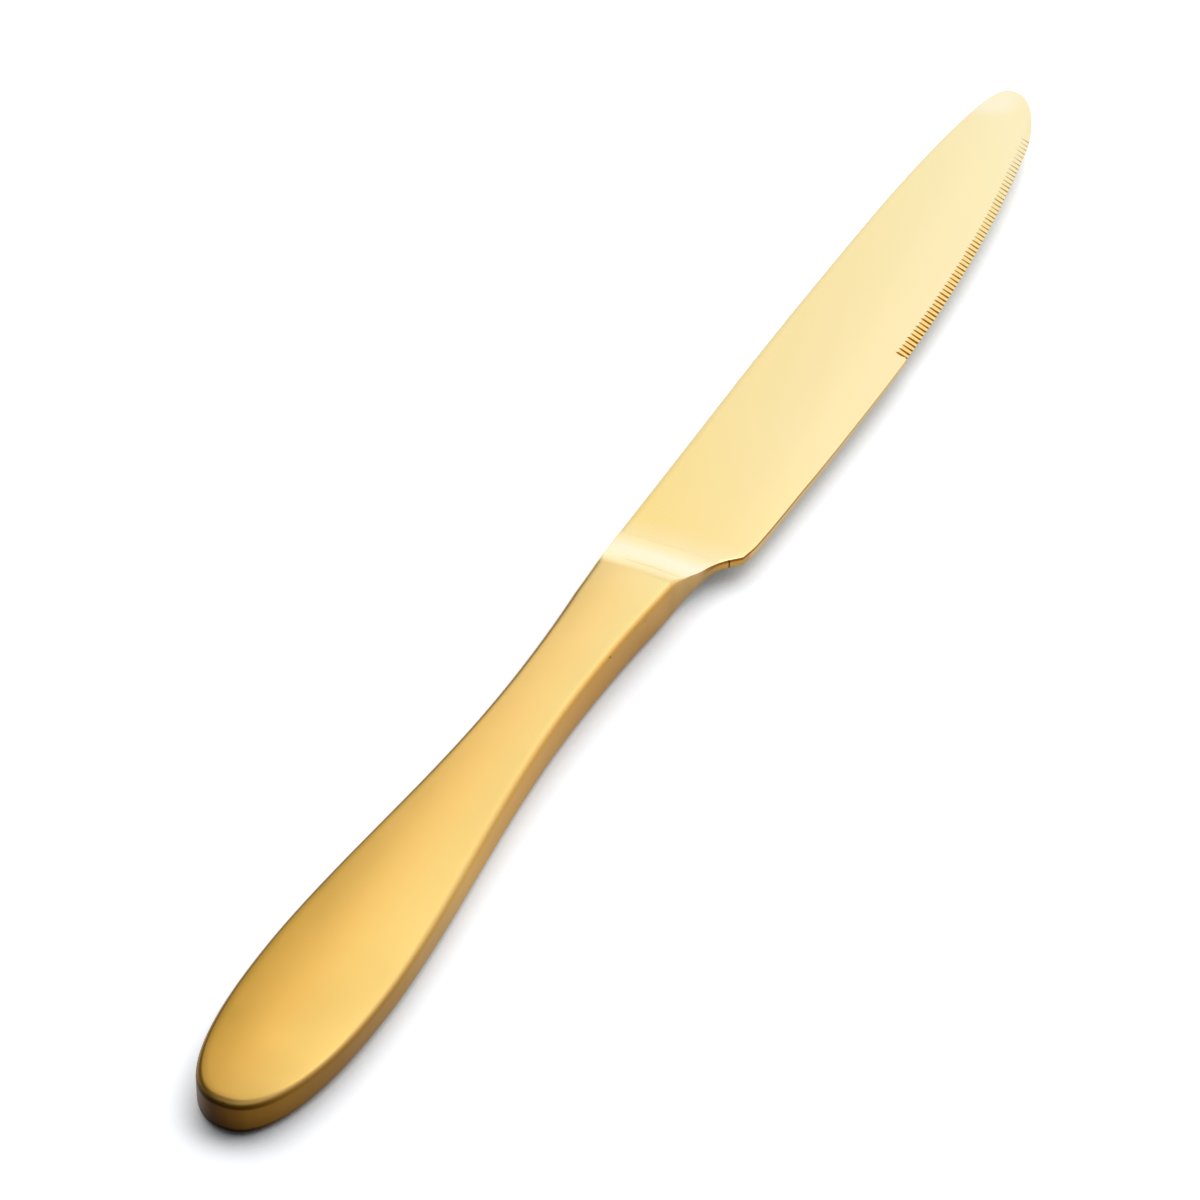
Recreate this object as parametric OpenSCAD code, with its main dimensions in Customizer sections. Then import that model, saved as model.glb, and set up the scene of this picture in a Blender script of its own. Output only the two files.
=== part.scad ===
// Table knife with a flat hollow handle, lying on its side as on a table.
// X runs from the butt to the tip, Y from the cutting edge to the spine, and Z is up.
// The origin lies on the table, under the middle of the handle.

/* [Handle] */
// Length of the hollow handle, from the butt to its mouth
handle_l = 104; // [98:0.5:112]
// Width of the handle at its widest place
bulb_w = 17.9; // [15:0.1:21]
// Distance from the butt to the widest place
bulb_at = 26.3; // [20:0.1:34]
// Bluntness of the butt, where 2 is an ellipse
butt_power = 2.4; // [2:0.05:2.8]
// Width of the waist, which is the narrowest place
waist_w = 9.4; // [8.4:0.1:10.4]
// Distance from the butt to the waist
waist_at = 86; // [78:0.5:92]
// Evenness of the sides between bulb and waist, where 1 is even
draw_in = 0.9; // [0.8:0.05:1.2]
// Width of the handle's mouth
mouth_w = 10.7; // [10:0.1:12]
// Thickness of the handle at the butt
butt_t = 5.26; // [4.8:0.02:6.2]
// Thickness of the handle at its mouth
mouth_t = 5.98; // [5.4:0.02:6.8]
// Radius of the crown across the handle's faces
crown_r = 57.5; // [45:0.5:90]
// Radius of the shoulder between a face and a side
shoulder_r = 0.9; // [0.5:0.05:1.3]
// Width of the flat that the underside rests on
rest_w = 3.6; // [2.4:0.1:4.8]

/* [Half shells] */
// Wall of the stamped half shells
shell_wall = 0.8; // [0.6:0.05:1]
// Thickness of the solder film in a joint
film_t = 0.1; // [0.06:0.01:0.2]
// Gap that the set cement leaves inside the shells
set_gap = 0.12; // [0.06:0.02:0.24]

/* [Bolster] */
// Length of the bolster at full thickness, from the handle's mouth
bolster_l = 7; // [5.5:0.1:9]
// Length of the cove that drops to the blade's face
cove_l = 9; // [6:0.1:10.5]
// Length over which the cove wears the shoulder's radius away
fade_l = 4; // [2:0.5:8]
// Radius left on the shoulder where the bolster meets the blade
root_r = 0.12; // [0.08:0.02:0.3]
// Length of the spigot inside the handle's mouth
spigot_l = 7; // [5:0.5:10]
// Clearance round the spigot
spigot_gap = 0.1; // [0.04:0.02:0.2]

/* [Tang] */
// Length of the tang, from the handle's mouth
tang_l = 62; // [45:1:72]
// Width of the tang
tang_w = 5; // [4:0.1:5.8]
// Thickness of the tang
tang_t = 2; // [1.6:0.1:2.6]
// Pairs of keying notches in the tang
notch_count = 3; // [1:1:4]
// Width of a keying notch
notch_w = 2; // [1.5:0.1:3]
// Depth of a keying notch
notch_d = 0.9; // [0.5:0.1:1.2]

/* [Blade] */
// Distance from the handle's mouth to the corner of the heel
heel_at = 18.5; // [17:0.1:21]
// Length of the blade, from the corner of the heel to the tip
blade_l = 113.5; // [100:0.5:125]
// Height of the spine above the handle's axis
spine_h = 6.74; // [6.2:0.02:7.6]
// Depth of the cutting edge below the axis at the heel
heel_d = 10.42; // [9.6:0.02:11]
// Depth of the cutting edge below the axis at its deepest
edge_d = 11.78; // [11.4:0.02:13]
// Height of the tip above the handle's axis
tip_h = 0.8; // [0:0.1:2]
// Thickness of the blade at its root
root_t = 1.36; // [1.2:0.02:1.8]
// Thickness of the blade at its tip
tip_t = 1.16; // [1:0.02:1.2]
// Depth below the axis where the grinding of the faces starts at the heel
grind_d = 9.8; // [9:0.1:10.2]
// Height above the axis where the grinding ends at the tip
grind_h = 1.5; // [0.9:0.1:2.4]
// Thickness of the plain edge where the serration starts
edge_t = 0.66; // [0.5:0.02:0.9]
// Length of the nose's curve along the spine
nose_spine_l = 8; // [6:0.5:12]
// Length of the nose's curve along the edge
nose_edge_l = 12; // [8:0.5:12]

/* [Serration] */
// Distance from the corner of the heel to the first groove
teeth_at = 49.7; // [46:0.1:56]
// Number of grooves
tooth_count = 58; // [40:1:58]
// Distance from one groove to the next
tooth_pitch = 0.945; // [0.8:0.005:0.96]
// Depth of the ground edge below the axis, where the grooves start
ground_d = 11.43; // [11:0.01:11.8]
// Radius of the ground edge, seen from above
ground_r = 304; // [260:1:400]
// Distance from the ground edge's deepest place to the first groove
ground_lead = 3.2; // [0:0.1:5]
// Width of the ground bevel where the grooves start
bevel_w = 1.4; // [1:0.05:1.7]
// Thickness left at the ground edge
ground_t = 0.14; // [0.1:0.02:0.2]
// Depth of a groove at the edge
tooth_d = 0.26; // [0.15:0.01:0.32]
// Length of the small step from the plain edge to the ground edge
step_l = 0.3; // [0.1:0.05:0.4]

/* [Hidden] */

// Overrun of every cut past the solid that it cuts
over = 1;
// Steps round a quarter of the butt, along a side, and across a shoulder
butt_steps = 14;
side_steps = 26;
outer_turns = [0, 30, 60, 90];
inner_turns = [0, 90];
// Share of the way from the shoulder to the flat where the crown has a row of points
crown_share = 0.5;
// Steps along the bolster, the choil, the plain edge and the ground edge, and round the nose
bolster_steps = 18;
choil_steps = 5;
plain_steps = 14;
ground_steps = 20;
nose_steps = 12;
// Facets of a full turn of the ground edge
ground_fn = 900;

// Spine: share of the way from mouth to tip, share of the rise from the mouth to the spine's height
spine_shares = [
    [0, 0], [0.03, 0.11], [0.061, 0.28], [0.085, 0.56], [0.109, 0.8], [0.129, 0.83],
    [0.161, 0.84], [0.231, 0.87], [0.336, 0.94], [0.424, 1], [0.515, 0.96], [0.625, 0.83],
    [0.735, 0.61], [0.811, 0.31], [0.886, -0.2], [0.939, -0.78], [1, -1.6]
];
// Choil: share of the way from mouth to heel, share of the drop from the mouth to the heel
choil_shares = [
    [0, 0], [0.11, 0.03], [0.22, 0.06], [0.32, 0.085], [0.43, 0.115], [0.51, 0.15],
    [0.595, 0.21], [0.65, 0.275], [0.7, 0.33], [0.76, 0.39], [0.81, 0.455], [0.865, 0.555],
    [0.92, 0.725], [0.973, 0.915], [1, 1]
];
// Plain edge: share of the blade's length from the heel, share of the drop from the heel to the deepest edge
plain_shares = [
    [0, 0], [0.013, 0.21], [0.026, 0.37], [0.066, 0.53], [0.145, 0.7], [0.185, 0.81],
    [0.225, 0.88], [0.304, 0.965], [0.366, 1], [0.44, 0.975]
];
// Cove: share of its length, share of the fall from the bolster's face to the blade's
cove_shares = [
    [0, 0], [0.11, 0.085], [0.22, 0.235], [0.33, 0.43], [0.445, 0.585], [0.555, 0.72],
    [0.67, 0.815], [0.78, 0.885], [0.89, 0.95], [1, 1]
];
// Squareness of the nose's curve along the spine and along the edge, where 2 is an ellipse
nose_spine_power = 3;
nose_edge_power = 2.3;

// Places along the knife, measured from the butt
rest_at = handle_l / 2;
bolster_at = handle_l + film_t;
cove_at = handle_l + bolster_l;
root_at = cove_at + cove_l;
heel_x = handle_l + heel_at;
tip_at = heel_x + blade_l;
spigot_end = handle_l - spigot_l;
tang_end = handle_l - tang_l;
teeth_x = heel_x + teeth_at;
ground_x = teeth_x - ground_lead;
teeth_end = teeth_x + (tooth_count - 1) * tooth_pitch;
ground_from = teeth_x - tooth_pitch / 2;
nose_at = tip_at - nose_edge_l;

// Row of points just outside the flat, and how far the crown would dip below the table without the flat
rest_row_share = 0.6;
rest_row_least_share = 0.3;
rest_row = rest_row_share * rest_w;
rest_dip = rest_w / 2 * rest_row / (2 * crown_r);

// Radius inside the shells' shoulders
inner_r = max(shoulder_r - shell_wall, root_r);

function blend(a, b, s) = a + (b - a) * s;
function ease(s) = let (t = max(0, min(1, s))) t * t * (3 - 2 * t);

// Even steps from one place up to the last before another
function steps(from, to, count) = [for (i = [0 : count - 1]) blend(from, to, i / count)];

// Half the thickness at the centre line, and the height of the middle plane above the table
function half_t(x) = blend(butt_t, mouth_t, x / handle_l) / 2;
function mid_z(x) = half_t(x) - rest_dip;
function crown(x, y) = half_t(x) - y * y / (2 * crown_r);

// Slope of a table of points at one of them
function slope(table, i) = let (
    a = table[max(0, i - 1)],
    b = table[min(len(table) - 1, i + 1)]
) (b[1] - a[1]) / (b[0] - a[0]);

// Value at a place on the smooth curve through a table of points
function curve(table, s) = let (
    i = max([for (j = [0 : len(table) - 2]) if (j == 0 || table[j][0] <= s) j]),
    a = table[i],
    b = table[i + 1],
    run = b[0] - a[0],
    t = (s - a[0]) / run
) blend(a[1], b[1], t * t * (3 - 2 * t))
    + run * slope(table, i) * t * (1 - t) * (1 - t)
    - run * slope(table, i + 1) * t * t * (1 - t);

// Half width of the handle between the bulb and the mouth
function side_y(x) = x < waist_at
    ? blend(waist_w, bulb_w, 0.5 + 0.5 * cos(180 * pow((x - bulb_at) / (waist_at - bulb_at), draw_in))) / 2
    : blend(waist_w, mouth_w, pow((x - waist_at) / (handle_l - waist_at), 2)) / 2;

// Spine and edge of the blade at a distance from the butt
function nose(x, length, power) = let (u = max(0, min(1, (x - tip_at) / length + 1)))
    pow(1 - pow(u, power), 1 / power);
function spine_y(x) = let (
    line = blend(mouth_w / 2, spine_h, curve(spine_shares, (x - handle_l) / (tip_at - handle_l)))
) tip_h + (line - tip_h) * nose(x, nose_spine_l, nose_spine_power);
function ground_y(x) = sqrt(ground_r * ground_r - (x - ground_x) * (x - ground_x)) - ground_r + ground_d;
function edge_line(x) = x < heel_x
    ? blend(mouth_w / 2, heel_d, curve(choil_shares, (x - handle_l) / heel_at))
    : x < ground_from - step_l / 2
    ? blend(heel_d, edge_d, curve(plain_shares, (x - heel_x) / blade_l))
    : ground_y(x);
function edge_y(x) = tip_h - (edge_line(x) + tip_h) * nose(x, nose_edge_l, nose_edge_power);

// Outline of the handle from its mouth on the spine's side, round the butt, to its mouth on the edge's side
function side_points(end) = concat(
    [for (i = [0 : butt_steps]) let (a = 90 * i / butt_steps)
        [bulb_at * (1 - pow(cos(a), 2 / butt_power)), bulb_w / 2 * pow(sin(a), 2 / butt_power)]],
    [for (i = [1 : side_steps]) let (x = blend(bulb_at, end, i / side_steps)) [x, side_y(x)]]
);
function outline(end) = let (side = side_points(end), last = len(side) - 1) concat(
    [for (i = [0 : last]) side[last - i]],
    [for (i = [1 : last]) [side[i][0], -side[i][1]]]
);

// Inward direction at a point of that outline
function inward(points, i) = i == 0
    ? [0, -1]
    : i == len(points) - 1
    ? [0, 1]
    : let (d = points[i + 1] - points[i - 1]) [-d[1], d[0]] / norm(d);

// Point of the handle's centre line that a point of the outline draws in to
function centre_x(x) = x < bulb_at ? blend(bulb_w / 2, bulb_at, x / bulb_at) : x;

// Rows of points from the middle plane, up the side and over the shoulder to the centre line
function rows(points, i, inset, round_r, turns, lift) = let (
    p = points[i],
    n = inward(points, i),
    side = p + n * inset,
    foot = p + n * (inset + round_r),
    foot_z = crown(foot[0], foot[1]) - inset,
    centre = [centre_x(p[0]), 0],
    rest = blend(foot, centre, max(rest_row_least_share, 1 - rest_row / max(abs(foot[1]), root_r))),
    mid = blend(foot, rest, crown_share)
) concat(
    [[side[0], side[1], lift]],
    [for (a = turns) let (q = side + n * round_r * (1 - cos(a)))
        [q[0], q[1], foot_z - round_r * (1 - sin(a))]],
    [for (q = [mid, rest, centre]) [q[0], q[1], crown(q[0], q[1]) - inset]]
);
function turned(list) = [for (i = [len(list) - 1 : -1 : 0]) list[i]];
function flipped(list) = [for (p = list) [p[0], p[1], -p[2]]];
function placed(list, way) = [for (p = list) [p[0], p[1], mid_z(p[0]) + way * p[2]]];

// Faces of a skin over n lines of m points. The first and last rows of points close on the centre line,
// and the quads are split the other way where a triangle would lie flat along that line.
function skin_at(i, k, n, m) = ((k == 0 || k == m - 1) && i > (n - 1) / 2 ? n - 1 - i : i) * m + k;
function split(a, b, c, d, way) = way ? [[a, c, b], [a, d, c]] : [[a, d, b], [b, d, c]];
function skin_faces(n, m) = concat(
    [for (i = [0 : n - 2], k = [0 : m - 2]) each split(
        skin_at(i, k, n, m), skin_at(i + 1, k, n, m), skin_at(i + 1, k + 1, n, m), skin_at(i, k + 1, n, m),
        (i < (n - 1) / 2) == (k >= (m - 1) / 2)
    )],
    [concat([for (k = [m - 1 : -1 : 0]) k], [for (k = [1 : m - 2]) (n - 1) * m + k])]
);
// Faces of a tube over n loops of m points, with both ends closed
function tube_faces(n, m) = concat(
    [for (i = [0 : n - 2], k = [0 : m - 1]) each split(
        i * m + k, (i + 1) * m + k, (i + 1) * m + (k + 1) % m, i * m + (k + 1) % m, true
    )],
    [[for (k = [m - 1 : -1 : 0]) k], [for (k = [0 : m - 1]) (n - 1) * m + k]]
);
function joined(lists) = [for (list = lists) each list];
function reversed(faces) = [for (f = faces) turned(f)];

// Outline of the knife across its length, as points of Y and Z
function section(x, top, bottom, inset, round_r, turns) = let (
    half = function (edge) let (foot = edge - sign(edge) * (inset + round_r)) concat(
        [for (a = turns) [edge - sign(edge) * (inset + round_r * (1 - cos(a))),
            face_z(x, foot) - inset - round_r * (1 - sin(a))]],
        [for (y = [blend(foot, sign(edge) * rest_row, crown_share), sign(edge) * rest_row])
            [y, face_z(x, y) - inset]]
    ),
    upper = concat(half(top), [[0, face_z(x, 0) - inset]], turned(half(-bottom)))
) concat(
    [for (p = upper) [p[0], mid_z(x) + p[1]]],
    [for (p = turned(upper)) [p[0], mid_z(x) - p[1]]]
);
// Height of the upper face above the middle plane, falling through the cove to the blade
function cove_share(x) = let (s = (x - cove_at) / cove_l) s <= 0 ? 0 : s >= 1 ? 1 : curve(cove_shares, s);
function face_z(x, y) = blend(crown(x, y), root_t / 2, cove_share(x));

// Moves a piece from its place along the knife to the frame of the part
module laid() {
    translate([-rest_at, 0, 0]) children();
}

// The table's side of the rest plane
module below_rest() {
    translate([-over, -edge_d - over, -over]) cube([tip_at + 2 * over, spine_h + edge_d + 2 * over, over]);
}

// One stamped half shell, above the middle plane or below it
module half_shell(way) {
    points = outline(handle_l);
    grid = [for (i = [0 : len(points) - 1]) concat(
        turned(rows(points, i, shell_wall, inner_r, inner_turns, film_t / 2)),
        rows(points, i, 0, shoulder_r, outer_turns, film_t / 2)
    )];
    faces = skin_faces(len(grid), len(grid[0]));
    polyhedron(placed(joined(grid), way), way > 0 ? faces : reversed(faces));
}

module handle_shell_top() {
    color("goldenrod") laid() half_shell(1);
}

module handle_shell_bottom() {
    color("darkgoldenrod") laid() difference() {
        half_shell(-1);
        below_rest();
    }
}

// Solder in the seam that runs round the handle between the half shells
module seam_solder() {
    points = outline(handle_l);
    loops = [for (i = [0 : len(points) - 1]) let (
        n = inward(points, i),
        p = points[i],
        q = p + n * shell_wall,
        z = film_t / 2
    ) [[p[0], p[1], -z], [p[0], p[1], z], [q[0], q[1], z], [q[0], q[1], -z]]];
    color("silver") laid() polyhedron(placed(joined(loops), 1), tube_faces(len(loops), len(loops[0])));
}

// Solder in the joint between the handle's mouth and the bolster
module neck_solder() {
    color("silver") laid() difference() {
        translate([handle_l, 0, 0]) rotate([90, 0, 90]) linear_extrude(film_t) difference() {
            polygon(section(handle_l, mouth_w / 2, mouth_w / 2, 0, shoulder_r, outer_turns));
            polygon(section(handle_l, mouth_w / 2, mouth_w / 2, shell_wall, inner_r, inner_turns));
        }
        below_rest();
    }
}

// Cement that fills the handle and holds the tang
module handle_filler() {
    points = outline(spigot_end);
    inset = shell_wall + set_gap;
    halves = [for (i = [0 : len(points) - 1]) rows(points, i, inset, root_r, inner_turns, 0)];
    grid = [for (half = halves) concat(turned(flipped(half)), [for (k = [1 : len(half) - 1]) half[k]])];
    color("lightgray") laid() difference() {
        polyhedron(placed(joined(grid), 1), skin_faces(len(grid), len(grid[0])));
        tang(over);
    }
}

// Notched tang, with an extra length at its root that runs into the spigot or past the end of a cut
module tang(extra) {
    reach = spigot_end - tang_end;
    step = reach / (notch_count + 1);
    translate([tang_end, 0, mid_z(handle_l)]) difference() {
        translate([0, -tang_w / 2, -tang_t / 2]) cube([reach + extra, tang_w, tang_t]);
        for (i = [1 : notch_count], way = [-1, 1]) {
            translate([i * step - notch_w / 2, way * tang_w / 2 - notch_d, -tang_t / 2 - over])
                cube([notch_w, 2 * notch_d, tang_t + 2 * over]);
        }
    }
}

// Spigot that plugs the handle's mouth and runs on inside the bolster
module spigot() {
    half_w = min(mouth_w / 2, side_y(spigot_end)) - shell_wall - spigot_gap;
    low = min(crown(spigot_end, half_w), crown(handle_l, half_w)) - shell_wall - spigot_gap;
    drop = abs(mid_z(handle_l) - mid_z(spigot_end)) / 2;
    translate([spigot_end, -half_w, (mid_z(spigot_end) + mid_z(handle_l)) / 2 - low + drop])
        cube([cove_at - spigot_end, 2 * half_w, 2 * (low - drop)]);
}

// Bolster that carries the handle's section on and falls to the blade
module bolster() {
    loops = [for (x = concat(steps(bolster_at, root_at, bolster_steps), [root_at])) let (
        r = blend(shoulder_r, root_r, ease((x - cove_at) / fade_l))
    ) [for (p = section(x, spine_y(x), -edge_y(x), 0, r, outer_turns)) [x, p[0], p[1]]]];
    difference() {
        polyhedron(joined(loops), reversed(tube_faces(len(loops), len(loops[0]))));
        below_rest();
    }
}

// Core of the forging, which runs on inside it from the bolster's cove to the blade's heel
module core() {
    translate([cove_at, -mouth_w / 4, mid_z(root_at) - root_t / 4])
        cube([heel_x - cove_at, mouth_w / 2, root_t / 2]);
}

// Thickness of the blade before it is ground, and the line across it where the grinding starts
function blade_t(x) = blend(root_t, tip_t, (x - root_at) / (tip_at - root_at));
function grind_y(x) = blend(-grind_d, grind_h, (x - heel_x) / blade_l);
grind_slope = (blade_t(teeth_x) - edge_t) / 2 / (ground_y(teeth_x) + grind_y(teeth_x));

// Height of the upper or the lower face of the ground blade, from the table
function blade_z(x, y, way) = mid_z(x) + way * (blade_t(x) / 2 - grind_slope * max(0, grind_y(x) - y));

// Slopes of the bevel across the edge and along it, and its height at the edge where the grooves start
function ground_z(x) = blade_z(x, -ground_y(x), -1) + ground_t;
bevel_slope = (blade_z(teeth_x, bevel_w - ground_y(teeth_x), 1) - ground_z(teeth_x)) / bevel_w;
bevel_rise = (ground_z(teeth_end) - ground_z(teeth_x)) / (teeth_end - teeth_x);

// Outline of the blade from its root round the nose, seen from above
blade_stations = concat(
    steps(root_at, heel_x, choil_steps),
    steps(heel_x, ground_from - step_l, plain_steps),
    [ground_from - step_l],
    steps(ground_from, nose_at, ground_steps),
    [for (i = [0 : nose_steps]) nose_at + nose_edge_l * sin(90 * i / nose_steps)]
);
blade_outline = let (last = len(blade_stations) - 1) concat(
    [for (x = blade_stations) [x, spine_y(x)]],
    [for (i = [last - 1 : -1 : 0]) [blade_stations[i], edge_y(blade_stations[i])]]
);

// Plain blade, tapering in thickness from root to tip
module blank() {
    intersection() {
        linear_extrude(mid_z(tip_at) + root_t) polygon(blade_outline);
        translate([0, spine_h + over, 0]) rotate([90, 0, 0])
            linear_extrude(spine_h + edge_d + 2 * over) polygon([
                [root_at, mid_z(root_at) - root_t / 2],
                [tip_at + over, mid_z(tip_at + over) - blade_t(tip_at + over) / 2],
                [tip_at + over, mid_z(tip_at + over) + blade_t(tip_at + over) / 2],
                [root_at, mid_z(root_at) + root_t / 2]
            ]);
    }
}

// Cut that grinds the upper or the lower face down towards the edge
module grind(way) {
    run = norm([blade_l, grind_h + grind_d]);
    heel_z = blade_z(heel_x, -grind_d, way);
    turn = atan((grind_h + grind_d) / blade_l);
    translate([heel_x, -grind_d, heel_z])
        rotate([0, -asin((blade_z(tip_at, grind_h, way) - heel_z) / run), turn])
            rotate([way * atan(grind_slope / cos(turn)), 0, 0])
                translate([-edge_d, -edge_d, way > 0 ? 0 : -over])
                    cube([run + 2 * edge_d, edge_d + over, over]);
}

// Cut of the bevel along the ground edge, on the upper face alone
module bevel() {
    reach = bevel_w + over;
    intersection() {
        translate([teeth_x, 0, ground_z(teeth_x)]) rotate([0, -atan(bevel_rise), 0])
            translate([-ground_lead, ground_r - ground_d, 0]) rotate_extrude($fn = ground_fn) polygon([
                [ground_r + over, -over * bevel_slope],
                [ground_r + over, reach],
                [ground_r - reach, reach],
                [ground_r - reach, reach * bevel_slope]
            ]);
        translate([ground_from, -edge_d - over, 0])
            cube([tip_at - ground_from + over, edge_d + spine_h, mid_z(tip_at) + over]);
    }
}

// Cut of one groove, a square bar laid on its edge that sinks from the bevel's top to the ground edge
module groove(x) {
    bar = tooth_pitch / 2;
    translate([x, -ground_y(x), ground_z(teeth_x) + bevel_rise * (x - teeth_x) - tooth_d])
        rotate([atan(bevel_slope + tooth_d / bevel_w), 0, 0]) rotate([0, -45, 0])
            translate([0, -over, 0]) cube([bar, 2 * bevel_w + over, bar]);
}

// Blade that is ground, bevelled and grooved
module ground_blade() {
    difference() {
        blank();
        grind(1);
        grind(-1);
        bevel();
        for (i = [0 : tooth_count - 1]) {
            groove(teeth_x + i * tooth_pitch);
        }
    }
}

module blade() {
    color("gold") laid() {
        tang(spigot_l);
        spigot();
        bolster();
        core();
        ground_blade();
    }
}

blade();
handle_shell_top();
handle_shell_bottom();
handle_filler();
seam_solder();
neck_solder();
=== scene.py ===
"""Looks of a table knife with a gold coat, lying on its side on a white table.

Sizes are in millimetres in the knife's own frame: X runs from the butt to the tip, Y from the cutting edge
to the spine, and Z up from the table. They become metres in the frame of the part when a mesh is made.
"""

import logging
import math
from collections.abc import Callable, Sequence
from dataclasses import dataclass
from enum import Enum
from functools import partial

import bmesh
import bpy
from mathutils import Matrix, Vector


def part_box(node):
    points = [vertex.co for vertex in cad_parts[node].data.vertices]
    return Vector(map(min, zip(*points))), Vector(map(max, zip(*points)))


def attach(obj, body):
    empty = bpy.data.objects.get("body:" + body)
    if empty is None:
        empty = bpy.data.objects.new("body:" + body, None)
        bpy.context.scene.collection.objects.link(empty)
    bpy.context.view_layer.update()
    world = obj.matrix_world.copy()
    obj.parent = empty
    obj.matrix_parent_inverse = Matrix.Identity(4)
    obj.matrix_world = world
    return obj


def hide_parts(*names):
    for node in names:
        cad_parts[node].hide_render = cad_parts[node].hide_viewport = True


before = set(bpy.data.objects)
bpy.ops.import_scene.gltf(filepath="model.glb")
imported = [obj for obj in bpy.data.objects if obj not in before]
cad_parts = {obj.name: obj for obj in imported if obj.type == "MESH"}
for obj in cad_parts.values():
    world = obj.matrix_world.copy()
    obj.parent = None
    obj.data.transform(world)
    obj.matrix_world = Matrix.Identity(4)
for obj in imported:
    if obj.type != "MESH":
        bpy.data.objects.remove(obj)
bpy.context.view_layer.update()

LOG = logging.getLogger("table_knife")
BODY = "root"
MM = 0.001
MERGE_MM = 0.0005
SHARP_ANGLE = math.radians(16)
WATTS_PER_LEVEL = 4.0
GROOVE_INPUTS = {
    "Geometry": ("Geometry",),
    "Int": ("Count", "Seed"),
    "Material": ("Coat",),
    "Vector": ("First", "Pitch", "Bar"),
    "Float": ("Edge Radius", "Edge Centre X", "Edge Centre Y", "Bar Lift", "Bar Shift", "Climb", "Jitter"),
}

Pair = tuple[float, float]
Point = tuple[float, float, float]
Loop = list[Point]
Stops = tuple[tuple[float, str], ...]
Piece = bpy.types.Object
Tree = bpy.types.NodeTree
Node = bpy.types.Node
Socket = bpy.types.NodeSocket
Adder = Callable[..., Node]


class Face(Enum):
    """The two broad faces of the knife as it lies."""

    UPPER = 1
    LOWER = -1


class Slot(Enum):
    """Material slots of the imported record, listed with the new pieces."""

    BLADE = "blade_steel"
    HANDLE = "handle_steel"
    SOLDER = "solder"


def blend(a: float, b: float, share: float) -> float:
    """Value that lies a share of the way from a to b."""
    return a + (b - a) * share


def ease(share: float) -> float:
    """Share from 0 to 1 that starts and ends level."""
    t = max(0.0, min(1.0, share))
    return t * t * (3 - 2 * t)


def soft_ramp(value: float, width: float) -> float:
    """Ramp that is 0 below zero and the value above it, rounded over about the width."""
    return width * math.log1p(math.exp(value / width))


def slope(table: Sequence[Pair], i: int) -> float:
    """Slope of a table of points at one of them.

    Args:
        table: The points.
        i: Number of the point.

    Returns:
        The slope of the line through its two neighbours.
    """
    a = table[max(0, i - 1)]
    b = table[min(len(table) - 1, i + 1)]
    return (b[1] - a[1]) / (b[0] - a[0])


def curve(table: Sequence[Pair], share: float) -> float:
    """Value on the smooth curve through a table of shares.

    Args:
        table: Points as a share of the way along and the value there.
        share: The share of the way along.

    Returns:
        The value at that place.
    """
    i = max(j for j in range(len(table) - 1) if j == 0 or table[j][0] <= share)
    (start, low), (stop, high) = table[i], table[i + 1]
    run = stop - start
    t = (share - start) / run
    bend = slope(table, i) * t * (1 - t) ** 2 - slope(table, i + 1) * t * t * (1 - t)
    return blend(low, high, ease(t)) + run * bend


def steps(start: float, stop: float, size: float) -> list[float]:
    """Places from start up to, but without, stop, evenly spaced at about the given size."""
    count = max(1, round((stop - start) / size))
    return [blend(start, stop, i / count) for i in range(count)]


def linear(code: str) -> tuple[float, float, float, float]:
    """Turns an sRGB colour to a linear one.

    Args:
        code: The colour as six hex digits.

    Returns:
        The linear colour with full alpha.
    """
    parts = [int(code[i:i + 2], 16) / 255 for i in (0, 2, 4)]
    red, green, blue = [c / 12.92 if c <= 0.04045 else ((c + 0.055) / 1.055) ** 2.4 for c in parts]
    return red, green, blue, 1.0


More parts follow.
